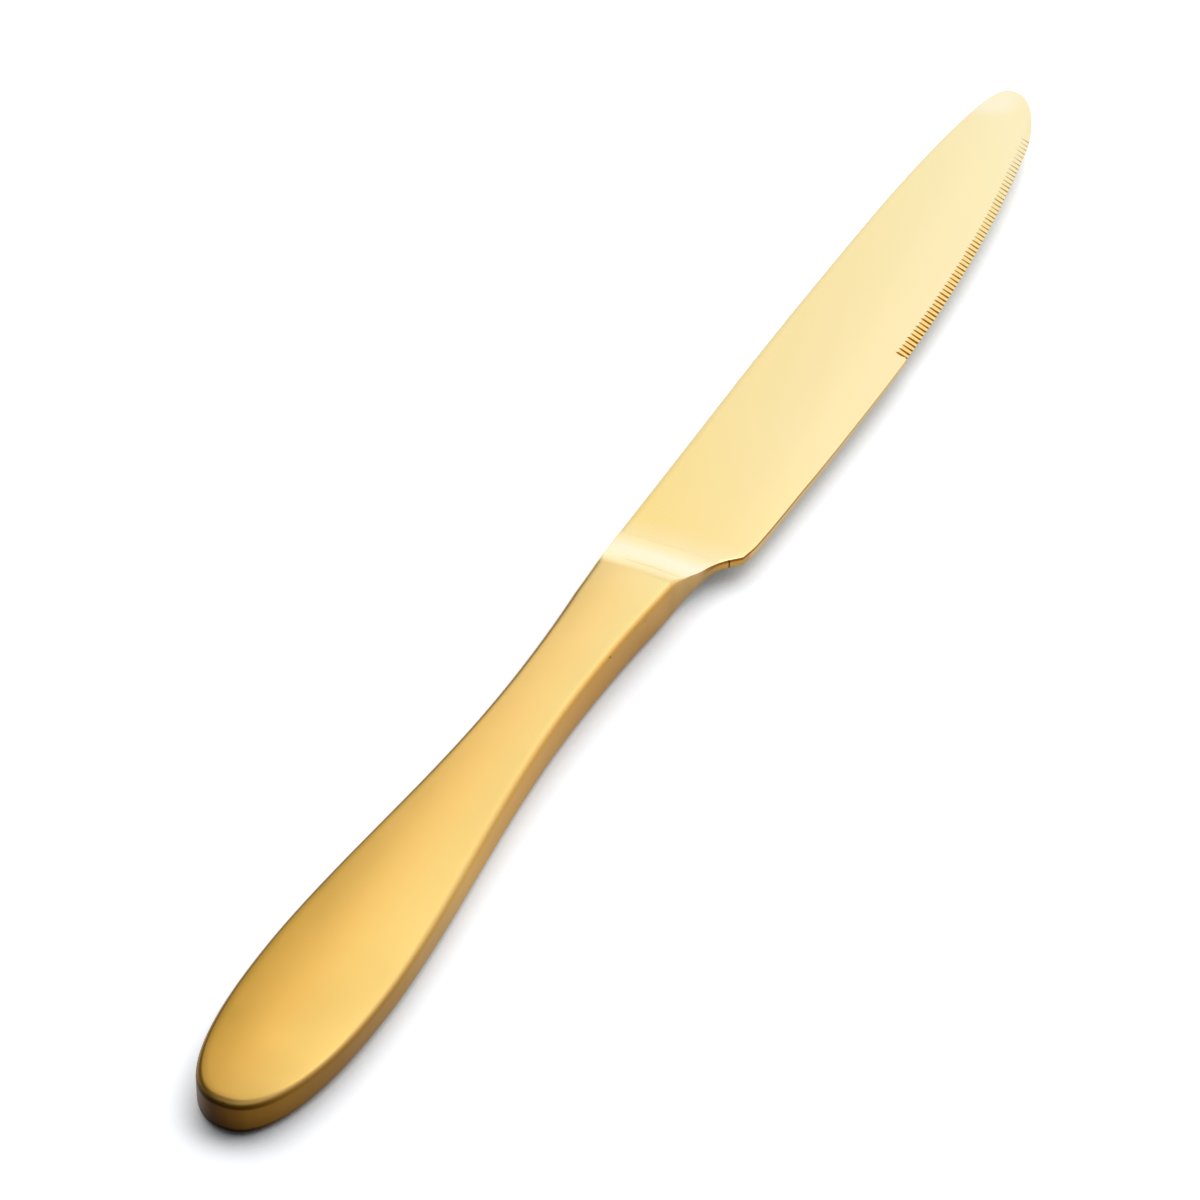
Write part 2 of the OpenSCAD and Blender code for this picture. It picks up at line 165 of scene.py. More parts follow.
@dataclass(frozen=True)
class Profile:
    """Outline, section and thickness along the knife, in millimetres from the butt."""

    handle_l: float
    tip_at: float
    bulb_w: float
    spine_h: float
    edge_d: float

    bulb_at: float = 26.3
    butt_power: float = 2.4
    waist_w: float = 9.4
    waist_at: float = 86.0
    draw_in: float = 0.9
    mouth_w: float = 10.7
    butt_t: float = 5.26
    mouth_t: float = 5.98
    crown_r: float = 57.5
    shoulder_r: float = 0.9
    shoulder_drop: float = 1.3
    rest_w: float = 3.6
    rest_row_share: float = 0.6

    shell_wall: float = 0.8
    film_t: float = 0.1
    inner_r: float = 0.12

    bolster_l: float = 7.0
    cove_l: float = 9.0
    fade_l: float = 4.0
    root_r: float = 0.12

    heel_at: float = 18.5
    heel_d: float = 10.42
    tip_h: float = 0.8
    root_t: float = 1.36
    tip_t: float = 1.16
    grind_d: float = 9.8
    grind_h: float = 1.5
    grind_blend: float = 1.0
    edge_t: float = 0.66
    edge_r: float = 0.09
    nose_spine_l: float = 8.0
    nose_edge_l: float = 12.0
    nose_spine_power: float = 3.0
    nose_edge_power: float = 2.3

    teeth_at: float = 49.7
    tooth_pitch: float = 0.945
    ground_d: float = 11.43
    ground_r: float = 304.0
    ground_lead: float = 3.2
    bevel_w: float = 1.4
    ground_t: float = 0.14
    step_l: float = 0.3

    nick_at: float = 121.05
    nick_w: float = 0.1
    nick_d: float = 0.08

    spine_shares: tuple[Pair, ...] = (
        (0, 0), (0.03, 0.11), (0.061, 0.28), (0.085, 0.56), (0.109, 0.8), (0.129, 0.83),
        (0.161, 0.84), (0.231, 0.87), (0.336, 0.94), (0.424, 1), (0.515, 0.96), (0.625, 0.83),
        (0.735, 0.61), (0.811, 0.31), (0.886, -0.2), (0.939, -0.78), (1, -1.6),
    )
    choil_shares: tuple[Pair, ...] = (
        (0, 0), (0.11, 0.03), (0.22, 0.06), (0.32, 0.085), (0.43, 0.115), (0.51, 0.15),
        (0.595, 0.21), (0.65, 0.275), (0.7, 0.33), (0.76, 0.39), (0.81, 0.455), (0.865, 0.555),
        (0.92, 0.725), (0.973, 0.915), (1, 1),
    )
    plain_shares: tuple[Pair, ...] = (
        (0, 0), (0.013, 0.21), (0.026, 0.37), (0.066, 0.53), (0.145, 0.7), (0.185, 0.81),
        (0.225, 0.88), (0.304, 0.965), (0.366, 1), (0.44, 0.975),
    )
    cove_shares: tuple[Pair, ...] = (
        (-0.11, 0), (0, 0), (0.11, 0.085), (0.22, 0.235), (0.33, 0.43), (0.445, 0.585), (0.555, 0.72),
        (0.67, 0.815), (0.78, 0.885), (0.89, 0.95), (1, 1),
    )

    @classmethod
    def from_frame(cls) -> "Profile":
        """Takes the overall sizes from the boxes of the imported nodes.

        Returns:
            The profile.
        """
        shell_low, shell_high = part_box("handle_shell_top")
        blade_low, blade_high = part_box("blade")
        sizes = (
            shell_high.x - shell_low.x,
            blade_high.x - shell_low.x,
            shell_high.y - shell_low.y,
            blade_high.y,
            -blade_low.y,
        )
        return cls(*(round(size / MM, 2) for size in sizes))

    @property
    def origin_x(self) -> float:
        """Distance from the butt to the origin of the part."""
        return self.handle_l / 2

    @property
    def bolster_at(self) -> float:
        """Distance from the butt to the bolster's end face."""
        return self.handle_l + self.film_t

    @property
    def cove_at(self) -> float:
        """Distance from the butt to the start of the cove."""
        return self.handle_l + self.bolster_l

    @property
    def root_at(self) -> float:
        """Distance from the butt to the end of the cove, where the blade starts."""
        return self.cove_at + self.cove_l

    @property
    def heel_x(self) -> float:
        """Distance from the butt to the corner of the heel."""
        return self.handle_l + self.heel_at

    @property
    def blade_l(self) -> float:
        """Length of the blade, from the corner of the heel."""
        return self.tip_at - self.heel_x

    @property
    def teeth_x(self) -> float:
        """Distance from the butt to the first groove."""
        return self.heel_x + self.teeth_at

    @property
    def ground_from(self) -> float:
        """Distance from the butt to the start of the ground bevel."""
        return self.teeth_x - self.tooth_pitch / 2

    @property
    def nose_at(self) -> float:
        """Distance from the butt to the start of the nose."""
        return self.tip_at - self.nose_edge_l

    def half_t(self, x: float) -> float:
        """Half the handle's thickness at its centre line."""
        return blend(self.butt_t, self.mouth_t, x / self.handle_l) / 2

    def mid_z(self, x: float) -> float:
        """Height of the knife's middle plane above the table."""
        dip = self.rest_w / 2 * self.rest_row_share * self.rest_w / (2 * self.crown_r)
        return self.half_t(x) - dip

    def crown(self, x: float, y: float) -> float:
        """Height of the handle's crowned face above the middle plane."""
        return self.half_t(x) - y * y / (2 * self.crown_r)

    def side_y(self, x: float) -> float:
        """Half the handle's width between the bulb and the mouth.

        Args:
            x: Distance from the butt.

        Returns:
            Half the width there.
        """
        if x < self.waist_at:
            turn = math.pi * ((x - self.bulb_at) / (self.waist_at - self.bulb_at)) ** self.draw_in
            return blend(self.waist_w, self.bulb_w, 0.5 + 0.5 * math.cos(turn)) / 2
        share = ((x - self.waist_at) / (self.handle_l - self.waist_at)) ** 2
        return blend(self.waist_w, self.mouth_w, share) / 2

    def nose(self, x: float, length: float, power: float) -> float:
        """Share of the blade's width that the nose's curve leaves."""
        u = max(0.0, min(1.0, (x - self.tip_at) / length + 1))
        return (1 - u ** power) ** (1 / power)

    def spine_y(self, x: float) -> float:
        """Place of the spine's side across the knife.

        Args:
            x: Distance from the butt.

        Returns:
            The distance from the axis.
        """
        share = (x - self.handle_l) / (self.tip_at - self.handle_l)
        line = blend(self.mouth_w / 2, self.spine_h, curve(self.spine_shares, share))
        return self.tip_h + (line - self.tip_h) * self.nose(x, self.nose_spine_l, self.nose_spine_power)

    def ground_y(self, x: float) -> float:
        """Depth of the ground edge below the axis."""
        away = x - self.ground_x
        return math.sqrt(self.ground_r ** 2 - away * away) - self.ground_r + self.ground_d

    @property
    def ground_x(self) -> float:
        """Distance from the butt to the deepest place of the ground edge."""
        return self.teeth_x - self.ground_lead

    def edge_line(self, x: float) -> float:
        """Depth of the edge's side below the axis, without the nose.

        Args:
            x: Distance from the butt.

        Returns:
            The depth of the choil, of the plain edge or of the ground edge.
        """
        if x < self.heel_x:
            share = curve(self.choil_shares, (x - self.handle_l) / self.heel_at)
            return blend(self.mouth_w / 2, self.heel_d, share)
        if x < self.ground_from - self.step_l / 2:
            share = curve(self.plain_shares, (x - self.heel_x) / self.blade_l)
            return blend(self.heel_d, self.edge_d, share)
        return self.ground_y(x)

    def edge_y(self, x: float) -> float:
        """Place of the edge's side across the knife, with the fine nick at the choil.

        Args:
            x: Distance from the butt.

        Returns:
            The distance from the axis, which is negative.
        """
        nose = self.nose(x, self.nose_edge_l, self.nose_edge_power)
        nick = self.nick_d * max(0.0, 1 - abs(x - self.nick_at) / (self.nick_w / 2))
        return self.tip_h - (self.edge_line(x) + self.tip_h) * nose + nick

    def cove_share(self, x: float) -> float:
        """Share of the fall from the bolster's face to the blade's."""
        return curve(self.cove_shares, max(0.0, min(1.0, (x - self.cove_at) / self.cove_l)))

    def blade_t(self, x: float) -> float:
        """Thickness of the blade before it is ground."""
        return blend(self.root_t, self.tip_t, (x - self.root_at) / (self.tip_at - self.root_at))

    def grind_y(self, x: float) -> float:
        """Place across the blade where the grinding of the faces starts."""
        return blend(-self.grind_d, self.grind_h, (x - self.heel_x) / self.blade_l)

    @property
    def grind_slope(self) -> float:
        """Slope of each ground face towards the edge."""
        x = self.teeth_x
        return (self.blade_t(x) - self.edge_t) / 2 / (self.ground_y(x) + self.grind_y(x))

    def blade_half(self, x: float, y: float) -> float:
        """Half the thickness of the ground blade, whose grinding starts softly."""
        ground = self.grind_slope * soft_ramp(self.grind_y(x) - y, self.grind_blend)
        return self.blade_t(x) / 2 - ground

    def face_z(self, x: float, y: float, face: Face) -> float:
        """Height above the table of the upper or the lower face of the bolster and blade."""
        half = blend(self.crown(x, y), self.blade_half(max(x, self.root_at), y), self.cove_share(x))
        return max(0.0, self.mid_z(x) + face.value * half)

    def ground_z(self, x: float) -> float:
        """Height of the ground edge's upper corner above the table."""
        return self.face_z(x, -self.ground_y(x), Face.LOWER) + self.ground_t

    @property
    def bevel_slope(self) -> float:
        """Slope of the ground bevel, square to the edge."""
        x = self.teeth_x
        top = self.face_z(x, self.bevel_w - self.ground_y(x), Face.UPPER)
        return (top - self.ground_z(x)) / self.bevel_w

    def bevel_rise(self, teeth_end: float) -> float:
        """Slope of the ground edge's upper corner along the knife."""
        return (self.ground_z(teeth_end) - self.ground_z(self.teeth_x)) / (teeth_end - self.teeth_x)


def round_corner(
    height: Callable[[float], float], radius: float, count: int, drop: float = 1.0
) -> list[Pair]:
    """Points of a shoulder that rounds a side wall into a face, without a crease at either end.

    Args:
        height: Height of the face at a distance inwards from the wall.
        radius: How far the shoulder reaches inwards.
        count: Number of steps round it.
        drop: How far it reaches down the wall, as a share of how far it reaches inwards.

    Returns:
        Distances inwards and heights, from the wall up to the face.
    """
    rise = (height(radius) - height(0.0)) / radius if radius > MERGE_MM else 0.0
    last = math.pi / 2 - math.atan(rise / drop)
    centre = height(radius * (1 - math.cos(last))) - drop * radius * math.sin(last)
    turns = [last * i / count for i in range(count + 1)]
    return [(radius * (1 - math.cos(a)), centre + drop * radius * math.sin(a)) for a in turns]


def link(name: str, data: bpy.types.ID) -> Piece:
    """Makes a new object at the scene's origin.

    Args:
        name: Its name.
        data: Its mesh, lamp or camera.

    Returns:
        The object.
    """
    made = bpy.data.objects.new(name, data)
    bpy.context.scene.collection.objects.link(made)
    return made


@dataclass
class MeshMaker:
    """Turns points in the knife's own frame into mesh objects in the frame of the part."""

    profile: Profile

    def make(self, name: str, points: Sequence[Point], faces: Sequence[Sequence[int]]) -> Piece:
        """Makes a closed mesh object.

        Args:
            name: Name of the object.
            points: Places in millimetres in the knife's own frame.
            faces: Corners of each face, as numbers of points.

        Returns:
            The object, with its doubled points merged and its faces turned outwards.
        """
        mesh = bpy.data.meshes.new(name)
        places = [((x - self.profile.origin_x) * MM, y * MM, z * MM) for x, y, z in points]
        mesh.from_pydata(places, [], faces)
        work = bmesh.new()
        work.from_mesh(mesh)
        bmesh.ops.remove_doubles(work, verts=work.verts, dist=MERGE_MM * MM)
        bmesh.ops.dissolve_degenerate(work, edges=work.edges, dist=MERGE_MM * MM)
        bmesh.ops.recalc_face_normals(work, faces=work.faces)
        work.to_mesh(mesh)
        work.free()
        return link(name, mesh)

    def tube(self, name: str, loops: Sequence[Loop], ring: bool = False) -> Piece:
        """Makes a closed mesh over loops that have equal numbers of points.

        Args:
            name: Name of the object.
            loops: The loops, in order.
            ring: Whether the last loop joins the first, or both ends are closed by a face.

        Returns:
            The object.
        """
        count = len(loops[0])
        spans = range(len(loops) if ring else len(loops) - 1)
        faces = [
            [i * count + k, j * count + k, j * count + m, i * count + m]
            for i in spans for j in [(i + 1) % len(loops)]
            for k in range(count) for m in [(k + 1) % count]
        ]
        if not ring:
            last = (len(loops) - 1) * count
            faces += [list(range(count)), [last + k for k in reversed(range(count))]]
        return self.make(name, [point for loop in loops for point in loop], faces)

    def box(self, name: str, low: Point, high: Point) -> Piece:
        """Makes a box.

        Args:
            name: Name of the object.
            low: Its lowest corner.
            high: Its highest corner.

        Returns:
            The box.
        """
        rings = [
            [(x, low[1], low[2]), (x, high[1], low[2]), (x, high[1], high[2]), (x, low[1], high[2])]
            for x in (low[0], high[0])
        ]
        return self.tube(name, rings)


def finish_mesh(piece: Piece) -> None:
    """Shades a mesh smooth, apart from its true edges."""
    piece.data.polygons.foreach_set("use_smooth", [True] * len(piece.data.polygons))
    piece.data.set_sharp_from_angle(angle=SHARP_ANGLE)


def settle(piece: Piece) -> None:
    """Turns what a piece's modifiers make of it into its own plain mesh.

    Args:
        piece: The piece, which loses its modifiers.
    """
    graph = bpy.context.evaluated_depsgraph_get()
    made = bpy.data.meshes.new_from_object(piece.evaluated_get(graph))
    piece.modifiers.clear()
    piece.data = made
    piece.data.name = piece.name


def dress(piece: Piece, material: bpy.types.Material, slot: Slot, *nodes: str) -> None:
    """Gives a piece its material, hangs it on the body and hides the nodes that it replaces.

    Args:
        piece: The finished piece.
        material: Its material.
        slot: Not used.
        nodes: The nodes that it replaces.
    """
    piece.data.materials.clear()
    piece.data.materials.append(material)
    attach(piece, BODY)
    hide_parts(*nodes)
    LOG.info("%s: %d faces, for %s", piece.name, len(piece.data.polygons), ", ".join(nodes))


def add_node(
    tree: Tree, kind: str, inputs: dict[str, object] | Sequence[object] = (), **settings: object
) -> Node:
    """Adds a node with its settings, its values and its links.

    Args:
        tree: The node tree.
        kind: The node's type, without the words that all types of the tree share.
        inputs: What goes into each input, by its name or in the inputs' order: a value, a socket, or a node
            that stands for the first of its outputs that is in use.
        settings: Properties of the node itself.

    Returns:
        The node.
    """
    prefix = "GeometryNode" if tree.bl_idname == "GeometryNodeTree" else "ShaderNode"
    node = tree.nodes.new(kind if kind.startswith(("Function", "Shader", "Node")) else prefix + kind)
    for name, value in settings.items():
        setattr(node, name, value)
    named = inputs if isinstance(inputs, dict) else dict(enumerate(inputs))
    for name, value in named.items():
        if isinstance(value, Node):
            value = next(socket for socket in value.outputs if socket.enabled)
        if isinstance(value, Socket):
            tree.links.new(value, node.inputs[name])
        else:
            node.inputs[name].default_value = value
    return node


def empty_tree(owner: bpy.types.ID) -> Adder:
    """Clears a node tree.

    Args:
        owner: The material or world that has the tree.

    Returns:
        The function that adds a node to the tree.
    """
    owner.use_nodes = True
    owner.node_tree.nodes.clear()
    return partial(add_node, owner.node_tree)


class Measure(Enum):
    """What the zones of the coat go by, with lengths in millimetres."""

    ALONG = "distance from the butt"
    ACROSS = "distance from the axis towards the spine"
    HEIGHT = "height above the knife's middle plane"
    NICK = "distance along the knife from the nick in the choil"
    PATCH = "distance from the worn patch at the tip"
    LEVEL = "1 on a level face and 0 on an upright wall"
    # Distance from the centre of the painted highlight at the tip.
    BUTTWARD = "how squarely the surface faces the butt and the near side"
    SPINEWARD = "how squarely the surface faces the spine's side"
    SPECKS = "noise at the size of the specks"


Sources = dict[Measure, Node | Socket]


class Zone(Enum):
    """Zones of the coat, each with its measure and the values between which it sets in and may then end."""

    BLASTED = (Measure.ALONG, 112.8, 110.4)
    NEAR_HALF = (Measure.ACROSS, 2.0, -5.0)
    FLAT = (Measure.LEVEL, 0.8, 0.96)
    WALL = (Measure.LEVEL, 0.78, 0.3)
    RIM = (Measure.LEVEL, 0.0, 0.22, 0.45, 0.75)
    SHOULDER = (Measure.LEVEL, 0.3, 0.6, 0.85, 0.97)
    BEVEL = (Measure.LEVEL, 0.3, 0.5, 0.955, 0.985)
    GROOVES = (Measure.LEVEL, 0.3, 0.5, 0.78, 0.92)
    FAR_RIM = (Measure.SPINEWARD, 0.1, 0.5)
    BUTT_SIDE = (Measure.BUTTWARD, 0.0, 0.3)
    LIP = (Measure.HEIGHT, 0.16, 0.28)
    NICK = (Measure.NICK, 0.1, 0.03)
    SPECKS = (Measure.SPECKS, 0.73, 0.77)
    PATCH = (Measure.PATCH, 6.0, 2.0)


@dataclass(frozen=True)
class Tint:
    """Tone laid on the coat where all its zones meet, by the distance from the butt in millimetres; most
    tints are painted shade or painted highlight.
    """

    zones: tuple[Zone, ...]
    stops: Stops
    mixing: str = "MULTIPLY"


@dataclass(frozen=True)
class GoldCoat:
    """Titanium nitride, gold in colour, vacuum-coated over steel, blasted or polished.

    The eye sees a satin orange-gold handle and a pale yellow-gold blade. The pale band over the cove, the
    blade's paling towards the tip and the pale spot at the tip are painted highlight. The blasted coat has
    weak clouds and a fine grain, and its faces roll down a little to the butt. The tints paint shade on the
    walls, in the grooves, round the butt's rim, along the blade's upper lip and on the far rim, paint
    highlight on the near half, and paint a deeper tone on the shoulders and the bevel; across the handle the
    tone shifts as painted shading. They also make it dark in the nick and in the rim's few specks of wear.
    """

    name: str = "gold_coat_on_steel"
    # Colour stops along the knife. The darker tone at the butt's end is painted shade, and the pale band
    # over the cove from 111.2 to 124 mm and the blade's paling towards the tip are painted highlight.
    stops: Stops = (
        (1.2, "DCAD57"), (6.0, "E6B65C"), (26.0, "EBBD64"), (65.0, "EEC472"), (104.0, "F1CF87"),
        (111.2, "F3D694"), (113.0, "F8E2B2"), (117.0, "FBEACB"), (119.0, "F9E4B0"), (124.0, "F7DC94"),
        (150.0, "F8E2A5"), (180.0, "F9E5AC"), (210.0, "F8E8B3"), (236.0, "F8EABC"),
    )
    tints: tuple[Tint, ...] = (
        # Painted highlight: a pale spot mixed in at the tip.
        Tint((Zone.PATCH,), ((0.0, "FBF0D0"),), "MIX"),
        # Painted shade: the upright walls darkened, most at the butt, standing for the shadowed table that
        # they mirror.
        Tint((Zone.WALL,), (
            (0.0, "6A5C3F"), (1.0, "8A7C59"), (5.0, "968861"), (9.0, "968862"), (14.0, "9C8C63"),
            (26.0, "B2A271"), (50.0, "D6CA91"), (70.0, "D3C18E"), (90.0, "CAB27D"), (102.0, "C3AB7C"),
            (108.0, "C8AD7C"), (117.0, "B8A074"), (118.5, "B69C6C"), (123.6, "B69A6A"), (124.4, "CDB88C"),
        )),
        # Painted highlight: the blasted level faces on the near half turned yellower.
        Tint((Zone.NEAR_HALF, Zone.BLASTED, Zone.FLAT), ((0.0, "F1FAF8"),)),
        # Painted shading: a deeper, more saturated tone on the shoulders towards the neck.
        Tint((Zone.SHOULDER,), ((60.0, "FFFFFF"), (95.0, "FFF1CF"), (111.0, "FFEFCC"), (116.0, "FFFFFF"))),
        # Painted shade: the far rim greyed and darkened.
        Tint((Zone.FAR_RIM,), ((0.0, "AEAA92"), (50.0, "B6B29A"), (104.0, "C2BEA6"), (112.0, "FFFFFF"))),
        # Painted shade: the rim that faces the butt darkened, most at its end.
        Tint((Zone.RIM, Zone.BUTT_SIDE), (
            (1.0, "958E73"), (2.5, "BCB59C"), (5.0, "E2DCC8"), (9.0, "FBF9EE"), (236.0, "FFFFFF"),
        )),
        # Painted shade: a dark line along the upper lip of the blade's edge wall.
        Tint((Zone.WALL, Zone.BUTT_SIDE, Zone.LIP), (
            (117.0, "FFFFFF"), (118.6, "D2AE76"), (123.6, "BE945A"), (126.0, "BC9A64"), (150.0, "BEA26C"),
            (170.0, "C8B284"), (171.4, "FFFFFF"),
        )),
        Tint((Zone.WALL, Zone.BUTT_SIDE, Zone.NICK), ((0.0, "5A4220"),)),
        Tint((Zone.RIM, Zone.SPECKS), ((0.0, "8A6A30"),)),
        # Painted shading: a deeper golden tone on the ground bevel.
        Tint((Zone.BEVEL,), ((170.8, "FFFFFF"), (171.4, "FFEDC0"), (200.0, "FFF3D4"), (222.0, "FFFFFF"))),
        # Painted shade: the serration's grooves darkened to a deep orange, fading towards the tip.
        Tint((Zone.GROOVES,), (
            (170.8, "FFFFFF"), (171.4, "DC9E34"), (188.0, "E6B044"), (205.0, "F4D07C"), (222.0, "FFF0CC"),
            (236.0, "FFF8E4"),
        )),
    )
    butt_side: Point = (-0.9, -0.45, 0.0)
    far_side: Point = (-0.3, 0.95, 0.0)
    # Centre of the painted highlight at the tip.
    tip_highlight_at: Point = (233.0, 3.2, 3.4)
    half_w: float = 9.0
    # Painted shading across the handle: less saturated towards the near side, where its highlight falls,
    # more saturated and, on the blasted coat, brighter towards the far side.
    saturation: Pair = (0.92, 1.065)
    painted_shading_brightness: Pair = (0.95, 1.07)
    cloud_mm: float = 12.0
    cloud_reach: Pair = (0.3, 0.7)
    cloud_tone: float = 0.018
    cloud_spread: float = 0.03
    satin: float = 0.42
    polish: float = 0.26
    grain_mm: float = 0.35
    grain_detail: float = 3.0
    grain_depth_mm: float = 0.002
    roll_l: float = 18.0
    roll_d: float = 1.3
    roll_power: float = 2.0
    speck_mm: float = 0.8

    def measures(self, add: Adder, profile: Profile) -> Sources:
        """Works out what the zones go by.

        Args:
            add: Adds a node to the material's tree.
            profile: The knife's profile.

        Returns:
            The source of each measure.
        """
        place = add("TexCoord").outputs
        spot = add("Mapping", {
            "Vector": place["Object"], "Location": (profile.origin_x, 0.0, 0.0), "Scale": (1 / MM,) * 3,
        })
        x, y, z = add("SeparateXYZ", (spot,)).outputs
        upward = add("SeparateXYZ", (place["Normal"],)).outputs["Z"]
        climb = (profile.mid_z(profile.tip_at) - profile.mid_z(0.0)) / profile.tip_at
        plane = add("Math", (x, climb, profile.mid_z(0.0)), operation="MULTIPLY_ADD")
        beside = add("Math", (x, profile.nick_at), operation="SUBTRACT")
        squareness = [
            add("VectorMath", (place["Normal"], side), operation="DOT_PRODUCT")
            for side in (self.butt_side, self.far_side)
        ]
        return {
            Measure.ALONG: x,
            Measure.ACROSS: y,
            Measure.HEIGHT: add("Math", (z, plane), operation="SUBTRACT"),
            Measure.NICK: add("Math", (beside,), operation="ABSOLUTE"),
            Measure.PATCH: add("VectorMath", (spot, self.tip_highlight_at), operation="DISTANCE"),
            Measure.LEVEL: add("Math", (upward,), operation="ABSOLUTE"),
            Measure.BUTTWARD: squareness[0],
            Measure.SPINEWARD: squareness[1],
            Measure.SPECKS: self.noise(add, self.speck_mm),
        }

    def noise(self, add: Adder, size_mm: float, detail: float = 2.0) -> Node:
        """Noise on the part's own coordinates, whose lumps are about the given size."""
        place = add("TexCoord").outputs["Object"]
        return add("TexNoise", {"Vector": place, "Scale": 1 / (size_mm * MM), "Detail": detail})

    def share(self, add: Adder, measures: Sources, *zones: Zone) -> Node:
        """Works out where zones meet.

        Args:
            add: Adds a node to the material's tree.
            measures: The source of each measure.
            zones: The zones.

        Returns:
            The node whose value is 1 where all of them hold, and 0 outside.
        """
        edges = []
        for measure, *reach in (zone.value for zone in zones):
            for start, stop, levels in zip(reach[::2], reach[1::2], ((0.0, 1.0), (1.0, 0.0))):
                edges.append(add(
                    "MapRange", (measures[measure], start, stop, *levels), interpolation_type="SMOOTHSTEP"
                ))
        met = edges[0]
        for edge in edges[1:]:
            met = add("Math", (met, edge), operation="MULTIPLY")
        return met

    def tone(self, add: Adder, along: Node, stops: Stops, length: float) -> object:
        """Makes a colour that follows stops along the knife.

        Args:
            add: Adds a node to the material's tree.
            along: The share of the way from the butt to the tip.
            stops: Distances from the butt in millimetres, and the colours there.
            length: Length of the knife in millimetres.

        Returns:
            The colour ramp, or the colour itself where there is only one.
        """
        if len(stops) == 1:
            return linear(stops[0][1])
        ramp = add("ValToRGB", (along,))
        elements = ramp.color_ramp.elements
        while len(elements) < len(stops):
            elements.new(position=0.5)
        for element, (at, code) in zip(elements, stops):
            element.position = at / length
            element.color = linear(code)
        return ramp

    def clouded(self, add: Adder, middle: float, spread: float) -> Node:
        """Level that weak clouds move by a spread to either side of its middle."""
        reach = (*self.cloud_reach, middle - spread, middle + spread)
        return add("MapRange", (self.noise(add, self.cloud_mm), *reach), interpolation_type="SMOOTHSTEP")

    def colour(self, add: Adder, measures: Sources, length: float) -> Node:
        """Mixes the coat's colour from its own stops and its tints.

        Args:
            add: Adds a node to the material's tree.
            measures: The source of each measure.
            length: Length of the knife in millimetres.

        Returns:
            The node whose output is the colour.
        """
        along = add("Math", (measures[Measure.ALONG], length), operation="DIVIDE")
        # Painted shading across the handle, from the near side's pale highlight to the far side's deeper
        # tone.
        across = (measures[Measure.ACROSS], -self.half_w, self.half_w)
        saturation, painted_shading_brightness = (
            add("MapRange", (*across, *levels)) for levels in (self.saturation, self.painted_shading_brightness)
        )
        level = add("Math", (self.clouded(add, 1.0, self.cloud_tone), painted_shading_brightness), operation="MULTIPLY")
        blasted = self.share(add, measures, Zone.BLASTED)
        value = add("Mix", {"Factor": blasted, "A": 1.0, "B": level}, data_type="FLOAT")
        plain = self.tone(add, along, self.stops, length)
        colour = add("HueSaturation", {"Saturation": saturation, "Value": value, "Color": plain})
        for tint in self.tints:
            share = self.share(add, measures, *tint.zones)
            tone = self.tone(add, along, tint.stops, length)
            inputs = {"Factor": share, "A": colour, "B": tone}
            colour = add("Mix", inputs, data_type="RGBA", blend_type=tint.mixing)
        return colour

    def relief(self, add: Adder, measures: Sources) -> Node:
        """Works out the blasted grain, and the faces' roll down to the butt.

        Args:
            add: Adds a node to the material's tree.
            measures: The source of each measure.

        Returns:
            The node whose output is the bumped normal.
        """
        near_butt = add("MapRange", (measures[Measure.ALONG], 0.0, self.roll_l, 1.0, 0.0))
        roll = add("Math", (near_butt, self.roll_power), operation="POWER")
        roll = add("Math", (roll, -self.roll_d), operation="MULTIPLY")
        blasted = self.share(add, measures, Zone.BLASTED)
        depth = add("Math", (blasted, self.grain_depth_mm), operation="MULTIPLY")
        grain = self.noise(add, self.grain_mm, self.grain_detail)
        height = add("Math", (grain, depth, roll), operation="MULTIPLY_ADD")
        return add("Bump", {"Strength": 1.0, "Distance": MM, "Height": height})

    def material(self, profile: Profile) -> bpy.types.Material:
        """Builds the material.

        Args:
            profile: The knife's profile, whose length the colour stops follow.

        Returns:
            The material.
        """
        material = bpy.data.materials.new(self.name)
        add = empty_tree(material)
        measures = self.measures(add, profile)
        satin = self.clouded(add, self.satin, self.cloud_spread)
        blasted = self.share(add, measures, Zone.BLASTED)
        shader = add("BsdfPrincipled", {
            "Base Color": self.colour(add, measures, profile.tip_at),
            "Metallic": 1.0,
            "Roughness": add("Mix", {"Factor": blasted, "A": self.polish, "B": satin}, data_type="FLOAT"),
            "Normal": self.relief(add, measures),
        })
        add("OutputMaterial", {"Surface": shader})
        return material


@dataclass(frozen=True)
class SetCement:
    """Filling compound of resin and mineral powder, poured hot into the handle and set.

    The eye sees a dull warm grey with fine pits.
    """

    name: str = "set_handle_cement"
    tones: tuple[str, str] = ("8C857A", "A8A196")
    mottle_mm: float = 2.5
    mottle_detail: float = 4.0
    pit_mm: float = 0.4
    pit_depth_mm: float = 0.05
    pit_strength: float = 0.5
    roughness: float = 0.85

    def material(self) -> bpy.types.Material:
        """Builds the material.

        Returns:
            The material.
        """
        material = bpy.data.materials.new(self.name)
        add = empty_tree(material)
        place = add("TexCoord").outputs["Object"]
        mottle = add(
            "TexNoise", {"Vector": place, "Scale": 1 / (self.mottle_mm * MM), "Detail": self.mottle_detail}
        )
        dark, pale = (linear(tone) for tone in self.tones)
        tone = add("Mix", {"Factor": mottle, "A": dark, "B": pale}, data_type="RGBA")
        pits = add("TexVoronoi", {"Vector": place, "Scale": 1 / (self.pit_mm * MM)})
        bump = add(
            "Bump", {"Strength": self.pit_strength, "Distance": self.pit_depth_mm * MM, "Height": pits}
        )
        shader = add("BsdfPrincipled", {"Base Color": tone, "Roughness": self.roughness, "Normal": bump})
        add("OutputMaterial", {"Surface": shader})
        return material


